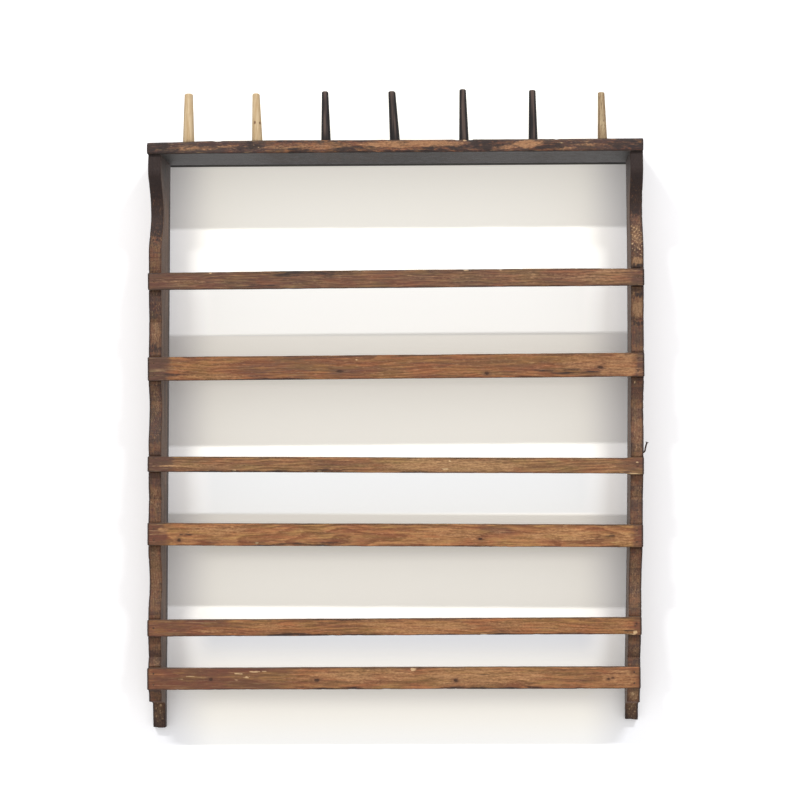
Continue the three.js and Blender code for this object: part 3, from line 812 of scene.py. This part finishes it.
TOP_CHIPS = [
    (139, 1, 9, 7, 3.3), (301, 1, 7, 6, 2.2), (118, 1, 12, 5, 1.2), (-60, -1, 14, 5, 1.6),
    (-330, 1, 12, 5, 1.4), (60, -1, 10, 4, 1.2), (255, -1, 12, 5, 1.4), (-190, -1, 12, 5, 1.6),
]


def make_top():
    def droop(at, top, low):
        fall = smoothstep(-at, 335, 475)
        rise = np.exp(-(((at + 190) / 190) ** 2))
        return top - TOP_DROOP * fall + TOP_RISE * rise, low

    # the last 30 mm of the top board towards the wall are painted in shade
    spec = dict(seed=11, arris=3.4, wave=0.3, end_round=2.4, painted_shade_back=30, chips=TOP_CHIPS,
                marks=TOP_MARKS, shape=droop)
    material = wood(
        "wood_top", "X", 11, plank_frame("top_board")[2][1:], (60, 12), 3.6,
        (srgb(148, 99, 65), srgb(90, 57, 42), DARK_STAIN), 0.46, UNDER_TOP, 0.3,
    )
    worn_plank("worn_top_board", "top_board", spec, material, "top_wood", 3.0, (20, 2, 20, 8))


# ---- side boards

# Worn and sooty places on each board's front edge, at a distance below the top.
SIDES = {
    "side_board_left": dict(seed=31, sign=-1, marks=[
        ("soot", 20, 0, 66, 20, 1.9), ("soot", 100, 0, 70, 20, 1.0), ("worn", 262, 0, 14, 9, 0.5),
        ("worn", 450, 0, 60, 9, 0.45), ("stain", 300, 0, 40, 20, 0.6), ("worn", 345, 0.2, 22, 10, 0.65),
        ("soot", 372, 0, 9, 16, 0.6), ("stain", 500, 0, 60, 20, 0.5), ("worn", 655, 0, 20, 10, 0.5),
        ("worn", 785, 0, 50, 9, 0.5), ("soot", 945, 0, 7, 16, 0.35), ("worn", 960, 0, 10, 10, 0.5),
        ("fresh", 1046, 0.3, 3, 2.4, 0.8), ("fresh", 1053, -0.1, 2, 1.8, 0.7),
        ("worn", 1066, 0, 20, 9, 0.75)]),
    "side_board_right": dict(seed=32, sign=1, marks=[
        ("soot", 10, 0, 50, 20, 1.9), ("soot", 85, 0, 40, 20, 1.0), ("fresh", 58, -0.4, 2.4, 1.4, 1),
        ("worn", 165, 0, 26, 9, 0.7), ("worn", 214, 0, 9, 10, 1.2), ("soot", 226, 0, 8, 16, 0.8),
        ("worn", 305, 0.1, 17, 9, 1.2), ("soot", 277, 0, 7, 16, 0.8), ("soot", 330, 0, 5, 16, 0.8),
        ("worn", 540, 0, 60, 8, 0.5), ("fresh", 440, -0.5, 2.4, 1.2, 0.9), ("worn", 800, 0, 50, 9, 0.5),
        ("soot", 940, 0, 12, 16, 0.3), ("worn", 940, 0.1, 12, 9, 0.5), ("worn", 645, 0, 16, 9, 0.5),
        ("worn", 1022, 0, 9, 9, 1.2), ("worn", 1056, 0, 20, 9, 0.75), ("fresh", 1019, -0.1, 3.6, 4, 0.7),
        ("fresh", 1028, 0.4, 2.4, 3, 0.6), ("fresh", 1062, 0.3, 1.8, 1.6, 0.7),
        ("fresh", 1068, -0.4, 1.6, 1.4, 0.6), ("fresh", 1044, -0.3, 2, 1.4, 1)]),
}
# scratches run down to the right across the right board's upper scoop, and both
# feet are pitted
SIDES["side_board_right"]["marks"] += [
    ("fresh", 146 + 9 * line + 3.4 * step, -0.72 + 0.36 * step, 2.3, 2.2, 0.62)
    for line in range(6) for step in range(5)
]
for board in SIDES.values():
    board["marks"] += [
        ("fresh", 1042 + 5 * pit, 0.5 * math.sin(2.4 * pit + board["seed"]), 1.9, 1.6, 0.9)
        for pit in range(8)
    ]
SIDE_THICK = 24
FOOT_ROUND = 1.4
FOOT_RAGGED = 2.4  # how far the feet's ends are broken off unevenly


def board_profile(node, sign, heights):
    """A side board's depth and the place of its outer face at each height."""
    mesh = NODES[node].data
    tree = BVHTree.FromPolygons([v.co for v in mesh.vertices],
                                [list(face.vertices) for face in mesh.polygons])
    outer, depth = [], []
    for z in heights * MM:
        side = tree.ray_cast(Vector((sign, -0.006, z)), Vector((-sign, 0, 0)))[0]
        outer.append(side.x / MM)
        probe = side.x - sign * 0.005
        hit = tree.ray_cast(Vector((probe, -1, z)), Vector((0, 1, 0)))[0]
        depth.append(-hit.y / MM)
    return np.array(outer), np.array(depth)


def make_side_board(node, spec):
    """A scooped board that stands upright, built up from its foot."""
    sign, seed, noise = spec["sign"], spec["seed"], Noise(spec["seed"])
    heights = vertices(node)[:, 2]
    bottom, head = heights.min(), heights.max()
    s = stations(head - bottom, 2.4)
    outer, depth = board_profile(node, sign, np.clip(bottom + s, bottom + 0.05, head - 0.05))
    inset = rounded_end(s, FOOT_ROUND)
    wander = s + seed * 900.0
    thin = 0.1 * noise.positive(wander / 70)
    front = -depth + 0.15 + 0.5 * noise.positive(wander / 14, 3) + inset
    low_x = np.minimum(outer, outer - sign * SIDE_THICK) + thin + inset * 0.5
    high_x = np.maximum(outer, outer - sign * SIDE_THICK) - thin - inset * 0.5
    soft = [1.9 * (1 + 0.55 * noise(wander / 22, 40 + i)) for i in (0, 1)]
    sharp, wall_side = np.full(len(s), 0.8), np.full(len(s), -0.02)
    # sections run in (x, depth): the front is the low side of the depth
    radii = np.stack([soft[0], soft[1], sharp, sharp], 1)
    low_corner, high_corner = np.stack([low_x, front], 1), np.stack([high_x, wall_side], 1)
    points, ways = sections(low_corner, high_corner, radii, (7, 16, 3, 16))

    x, y, down = points[..., 0], points[..., 1], -(bottom + s)[:, None]
    across = (x - ((low_x + high_x) / 2)[:, None]) / (SIDE_THICK / 2)
    depth_in = y - front[:, None]
    rise = np.minimum(x - low_x[:, None], high_x[:, None] - x)
    facing = smoothstep(-ways[..., 1], 0.2, 0.8)
    arris = near_arris(depth_in, rise, 2.4)
    nibble = noise(down / 7 + seed, x / 6, y / 6)
    chipped = 0.5 * smoothstep(nibble, 0.7, 0.9) * arris
    cut = 0.1 * noise.positive(down / 22, x / 9, y / 17)
    cut += 1.1 * smoothstep(nibble, 0.4, 0.85) * arris
    cut += 0.3 * facing * noise.positive(down / 2.6, x / 30)
    points = points - ways * cut[..., None]

    x, y = points[..., 0], points[..., 1]
    ragged = FOOT_RAGGED * noise.positive(x / 5 + 50, y / 6)
    height = (bottom + s)[:, None] + ragged * np.exp(-s / 6)[:, None]
    piece = skin("worn_" + node, np.stack([x, y, height], 2), Matrix.Identity(4))
    # soot lies at the foot's end and on the outer arris; along the wall and up under the top board the
    # darkening is painted shade
    past = (outer[:, None] - x) * sign
    ends = (1 - smoothstep(s, 0.5, 4))[:, None] * np.ones_like(across)
    ends = np.maximum(ends, (1 - smoothstep(past, 1.0, 3.6)) * (depth_in < 5))
    ends = np.maximum(ends, 1 - smoothstep(-y, 10, 34))
    ends = np.maximum(ends, 0.85 * (1 - smoothstep(down, 25, 130)))
    marks = Marks(spec["marks"], down, across, SIDE_THICK / 2, noise)
    dress(piece, marks, facing, arris, ends, chipped, shown=facing)
    material = wood(
        "wood_" + node, "Z", seed, (-60, 449 * sign), (20, 40 * sign), 4.4,
        (srgb(120, 86, 61), srgb(100, 65, 48), DARK_STAIN), 0.18, INNER_FACE, 0.16, 0.5,
    )
    finish_piece(piece, material, "side_wood", node)


# ---- pegs

PEGS = {  # height, widths at the foot and the tip, lean and kind of wood
    1: (92, 20.2, 14.3, 0, "fresh"),
    2: (91.5, 18.6, 12.3, -2.4, "fresh"),
    3: (94.5, 16.9, 11, -1.8, "dark"),
    4: (93.7, 17.8, 12.2, -5.7, "dark"),
    5: (96.5, 16.9, 11, -2.2, "dark"),
    6: (94, 16, 11.1, -1.3, "dark"),
    7: (89, 16.4, 11.3, -2, "aged"),
}
PEG_AROUND = 40
PEG_RISE = 46
PEG_CUTS = 8
PEG_SWELL = 0.7  # how far the rounded pegs stand out past the plain ones
PEG_INSIDE = 4.0  # how far a peg's mesh goes on into the board
TIP_ROUND = 2.6
FACET_REACH = math.cos(math.pi / 18)  # how far a nine-sided solid reaches along X


def whittled_radius(noise, angle, height, full):
    """The outline of a round stick after PEG_CUTS long knife cuts."""
    radius = np.full(angle.shape, 1.0)
    for number in range(PEG_CUTS):
        wobble = 0.16 * noise(number * 3.7, 0.2) + 0.1 * noise(number * 5.1, height / 45)
        face = 2 * math.pi * (number + 0.5) / PEG_CUTS + wobble
        near = 1 - 0.05 * noise.positive(number * 7.3, height / 26, 4.4)
        lean = np.cos(angle - face)
        flat = np.where(lean > 0.3, near / np.maximum(lean, 0.3), 9)
        radius = np.minimum(radius, flat)
    return radius * full


def make_peg(number, height, base, tip, lean, kind):
    node, noise = f"peg_{number}", Noise(60 + number)
    low, high = (np.array(c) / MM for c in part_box(node))
    round_from = height - TIP_ROUND
    rise = np.concatenate([
        [-PEG_INSIDE], np.linspace(0, round_from, PEG_RISE),
        round_from + TIP_ROUND * np.sin(np.linspace(0.2, 1.5, 8)),
    ])
    share = np.clip(rise / height, 0, 1)
    over = np.clip((rise - round_from) / TIP_ROUND, 0, 1)
    radius = base / 2 + (tip - base) / 2 * share + PEG_SWELL
    radius = radius * np.sqrt(np.maximum(1 - 0.55 * over**2, 0.05))
    angle = np.linspace(0, 2 * math.pi, PEG_AROUND, endpoint=False)
    angles, heights = np.meshgrid(angle, rise)
    full = np.repeat(radius[:, None], PEG_AROUND, 1)
    around = whittled_radius(noise, angles, heights, full)
    around -= 0.06 * noise.positive(angles * 3, heights / 7, 8)
    middle_x, middle_y = (low[0] + high[0]) / 2, (low[1] + high[1]) / 2
    if lean:  # the foot of a leaning peg lies at the right end of its box
        middle_x = high[0] - base / 2 * FACET_REACH
    grid = np.stack([
        middle_x + lean * share[:, None] + around * np.cos(angles),
        middle_y + around * np.sin(angles),
        high[2] - height + heights,
    ], 2)
    piece = skin("whittled_" + node, grid, Matrix.Identity(4))
    paint(piece, "soot", np.clip(1 - heights / 9, 0, 1) * 0.8 + over[:, None] * 0.35)
    # painted shade on the flanks, and on the dark pegs a painted highlight down the front and back
    kept = PEG_FLANK_SHADE[kind]
    rubbed = smoothstep(1 - np.abs(np.cos(angles)), kept, kept + 0.4)
    paint(piece, "rubbed", rubbed * (0.72 + 0.4 * noise(angles * 2.2, heights / 34, 3)))
    paint(piece, "height", np.repeat(share[:, None], PEG_AROUND, 1))
    finish_piece(piece, peg_wood(node, kind, number), f"peg_{kind}_wood", node)


PEG_COLOURS = {  # light, dark and dirt of each kind of peg
    "fresh": (srgb(206, 184, 150), srgb(180, 152, 114), srgb(104, 78, 56)),
    "aged": (srgb(188, 168, 134), srgb(140, 114, 84), srgb(84, 64, 48)),
    "dark": (srgb(82, 66, 59), srgb(20, 15, 15), srgb(42, 29, 27)),
}
PEG_FLANK_SHADE = {"fresh": 0.12, "aged": 0.12, "dark": 0.3}  # how much of the flanks keeps painted shade
PEG_KNOT = srgb(96, 60, 38)
PEG_KNOTS = [(-261.8, 48.0, 2.7), (-252.6, 47.4, 2.2)]  # the second peg's knots: x, z, radius


def peg_wood(node, kind, seed):
    p = Paint("wood_" + node)
    x, y, z = p.places()
    light, dark, dirt = PEG_COLOURS[kind]
    shifted = p.add(z, seed * 300.0)

    def stretched(length, width):
        return p.grain((x, y, shifted), (width, width, length), detail=3.0, rough=0.6)

    fibre, streak = stretched(26, 0.8), stretched(60, 2.6)
    streaky = p.add(streak, -0.5)
    if kind == "dark":
        tip = p.times(p.smooth(p.mark("height"), 0.75, 1.0), 0.25)
        # the front and back of a dark peg are painted lighter, a painted highlight; its flanks stay
        # dark, painted shade
        shown = p.add(p.mark("rubbed"), p.times(streaky, 1.1), tip)
        colour = p.mix(p.smooth(shown, 0.3, 1.05), dark, light)
    else:
        colour = p.mix(p.smooth(streak, 0.36, 0.66), light, dark)
        colour = p.cover(colour, dark, 0.45, stretched(24, 9), 0.4, 0.7)
        # painted shade on the flanks
        colour = p.cover(colour, dark, 0.3, p.flip(p.mark("rubbed"), clamp=True))
        if kind == "aged":
            colour = p.cover(colour, dirt, 0.7, stretched(9, 1.6), 0.54, 0.66)
        colour = p.cover(colour, dark, 0.3, p.mark("height"), 0.35, 0.0)
    if node == "peg_2":
        for knot_x, knot_z, size in PEG_KNOTS:
            far = p.distance(p.add(x, -knot_x), p.times(p.add(z, -knot_z), 0.62))
            colour = p.cover(colour, PEG_KNOT, 0.8, p.flip(p.smooth(far, size * 0.45, size)))
    smoke = p.smooth(p.add(p.mark("soot"), p.times(streaky, 0.9)), 0.4, 1.0)
    colour = p.cover(colour, dirt, 0.7, smoke)
    shade = p.span(fibre, 0.25, 0.75, 0.86, 1.1)
    return p.finish(
        Base_Color=p.shaded(colour, shade, shade, shade), Specular_IOR_Level=WOOD_GLOSS,
        Roughness=0.5 if kind == "dark" else 0.66, Normal=p.bump(p.add(fibre, streak), 0.35, 0.5),
    )


# ---- nails

NAIL_RINGS = [  # (share of the head's radius, height above the wood) down to the shank
    (0.12, 0.25), (0.45, 0.22), (0.75, 0.06), (0.95, -0.25), (1.0, -0.6), (0.9, -0.95),
    (0.42, -1.1), (0.4, -6.0),
]
NAIL_AROUND = 14
NAIL_HEAD = 1.9  # radius of the hammered head
NAIL_DEEP = 0.45  # how far the heads are sunk
NAIL_END = 0.9  # the stretch of a solid nail that counts as its end


def nail_place(node):
    """Where a nail's head ends, and which way it points out of the wood."""
    points = vertices(node)
    long = int(np.argmax(np.ptp(points, 0)))
    ends = [points[:, long].min(), points[:, long].max()]
    groups = [points[np.abs(points[:, long] - end) < NAIL_END] for end in ends]
    wide = [np.ptp(np.delete(group, long, 1), 0).max() for group in groups]
    head, tip = int(np.argmax(wide)), int(np.argmin(wide))
    middles = [(group.min(0) + group.max(0)) / 2 for group in groups]
    at = middles[head].copy()
    at[long] = ends[head]
    return at, Vector(at - middles[tip])


def make_nails(material):
    """Hammered rose heads, sunk a little, on the nails' own axes."""
    for node in sorted(NODES):
        if "nail" not in node or node == "bent_nail":
            continue
        at, out = nail_place(node)
        noise = Noise(sum(ord(letter) for letter in node))
        angle = np.linspace(0, 2 * math.pi, NAIL_AROUND, endpoint=False)
        rings = []
        for share, height in NAIL_RINGS:
            dents = 1 + 0.16 * noise(np.cos(angle) * 1.6 + 3, np.sin(angle) * 1.6, share * 2)
            radius = NAIL_HEAD * share * dents
            bumps = 0.1 * noise(np.cos(angle) * 2, np.sin(angle) * 2, share * 5)
            rings.append(np.stack([
                radius * np.cos(angle), radius * np.sin(angle), height + bumps - NAIL_DEEP,
            ], 1))
        turn = out.to_track_quat("Z", "Y").to_matrix().to_4x4()
        piece = skin("hammered_" + node, np.stack(rings[::-1]),
                     Matrix.Translation(Vector(at) * MM) @ turn)
        finish_piece(piece, material, "nail_iron", node)


def dress_bent_nail(material):
    nail = NODES["bent_nail"]
    nail.data.materials.clear()
    nail.data.materials.append(material)


# ---- wall


# Part of the shading is painted, at fixed places on the wall. Inside is the wall
# between the side boards, painted a little warmer in its shade. A painted glow that
# only a view sees lifts the wall's shade, more inside than outside and cooler under the rack.
WALL_HALF, WALL_GAP = 4.0, 0.0006  # metres
WALL_INSIDE, WALL_OUTSIDE = srgb(252, 250, 244), srgb(251, 251, 254)
INSIDE_ENDS = (340.0, 440.0)  # from the middle, where inside passes into outside
PAINTED_GLOW_COLOUR = srgb(255, 248, 235)
PAINTED_GLOW_LOW, LOW_ENDS = srgb(238, 240, 246), (-1060.0, -1130.0)  # of the wall under the rack
PAINTED_GLOW_INSIDE, PAINTED_GLOW_OUTSIDE = 0.32, 0.12
# Below each rail the wall is dimmer: how much in red, green and blue, how far down
# from the rail's lower edge that fades, and where it ends in the rail's own shadow.
RAIL_SHADES = {
    "plate_rail_1": ((0.25, 0.24, 0.21), 389, 80),
    "shelf_rail_1": ((0.08, 0.08, 0.08), 10, None),
    "plate_rail_2": ((0.26, 0.23, 0.17), 318, 76),
    "shelf_rail_2": ((0.25, 0.25, 0.25), 36, None),
    "plate_rail_3": ((0.36, 0.33, 0.25), 96, None),
    "shelf_rail_3": ((0.26, 0.26, 0.25), 55, None),
}
RAIL_SLACK = 3  # the rails slope, so their shade starts a little above the lowest end
SHADE_BEHIND = (-24.0, -16.0)  # it begins behind the rail, this far above that edge
SHADE_ENDS = (345.0, 420.0)  # from the middle, where it fades out
SHADE_SOFT = 3.0
# a painted shadow line on the wall, close under the top board
UNDER_SHADOW_LINE, UNDER_SHADOW_DEPTH = (-16.4, -14.6), 0.93
UNDER_MIDDLE, UNDER_HALF = 3.0, 462.0


def make_wall():
    """The white wall. It takes the rack's shadow and stays out of views from behind."""
    mesh = bpy.data.meshes.new("wall")
    corners = [(WALL_HALF * x, WALL_GAP, WALL_HALF * z)
               for x, z in ((-1, -1), (1, -1), (1, 1), (-1, 1))]
    mesh.from_pydata(corners, [], [(0, 1, 2, 3)])
    wall = new_object("wall", mesh)
    p = Paint("wall_paint")
    x, _, z = p.places()
    inside = p.flip(p.smooth(p.size(x), *INSIDE_ENDS))
    between = p.flip(p.smooth(p.size(x), *SHADE_ENDS))
    # painted shadow line on the wall just under the top board
    under = p.times(p.smooth(z, *UNDER_SHADOW_LINE), p.math("LESS_THAN", z, 0.0))
    under = p.times(under, p.math("LESS_THAN", p.size(p.add(x, -UNDER_MIDDLE)), UNDER_HALF))
    shades = [p.flip(p.times(under, UNDER_SHADOW_DEPTH))] * 3
    for node, (strengths, reach, end) in RAIL_SHADES.items():
        below = p.math("SUBTRACT", vertices(node)[:, 2].min() + RAIL_SLACK, z)
        here = p.times(p.flip(p.smooth(below, 0.0, float(reach))), between)
        here = p.times(here, p.smooth(below, *SHADE_BEHIND))
        if end:
            here = p.times(here, p.smooth(below, end + SHADE_SOFT, end - SHADE_SOFT))
        shades = [p.times(shade, p.flip(p.times(here, strength)))
                  for shade, strength in zip(shades, strengths)]
    # the wall's colour, with a painted warm tint inside and the painted shades
    colour = p.shaded(p.mix(inside, WALL_OUTSIDE, WALL_INSIDE), *shades)
    # painted glow: stronger inside, cooler under the rack, dimmed by the painted shades
    painted_glow_colour = p.mix(p.smooth(z, *LOW_ENDS), PAINTED_GLOW_COLOUR, PAINTED_GLOW_LOW)
    strength = p.add(p.times(inside, PAINTED_GLOW_INSIDE - PAINTED_GLOW_OUTSIDE), PAINTED_GLOW_OUTSIDE)
    painted_glow = p.node("Emission", {"Color": p.shaded(painted_glow_colour, *shades),
                               "Strength": p.times(p.sees_white(), strength)})
    both = p.node("AddShader", {0: p.shader.outputs[0], 1: painted_glow.outputs[0]}).outputs[0]
    back = p.node("NewGeometry", {}).outputs["Backfacing"]
    clear = p.node("BsdfTransparent", {}).outputs[0]
    final = p.node("MixShader", {0: back, 1: both, 2: clear}).outputs[0]
    p.feed(p.tree.nodes["Material Output"].inputs[0], final)
    mesh.materials.append(p.finish(Base_Color=colour, Roughness=0.9, Specular_IOR_Level=0.0))
    wall.visible_diffuse = wall.visible_glossy = wall.visible_shadow = False


make_camera()
make_lights()
make_wall()
make_top()
for board_node, board_facts in SIDES.items():
    make_side_board(board_node, board_facts)
make_rails()
make_shelves()
for peg_number, peg_sizes in PEGS.items():
    make_peg(peg_number, *peg_sizes)
make_nails(iron("stained_iron", srgb(66, 48, 39), srgb(112, 78, 54)))
dress_bent_nail(iron("rusted_iron", srgb(50, 40, 36), srgb(88, 62, 46)))
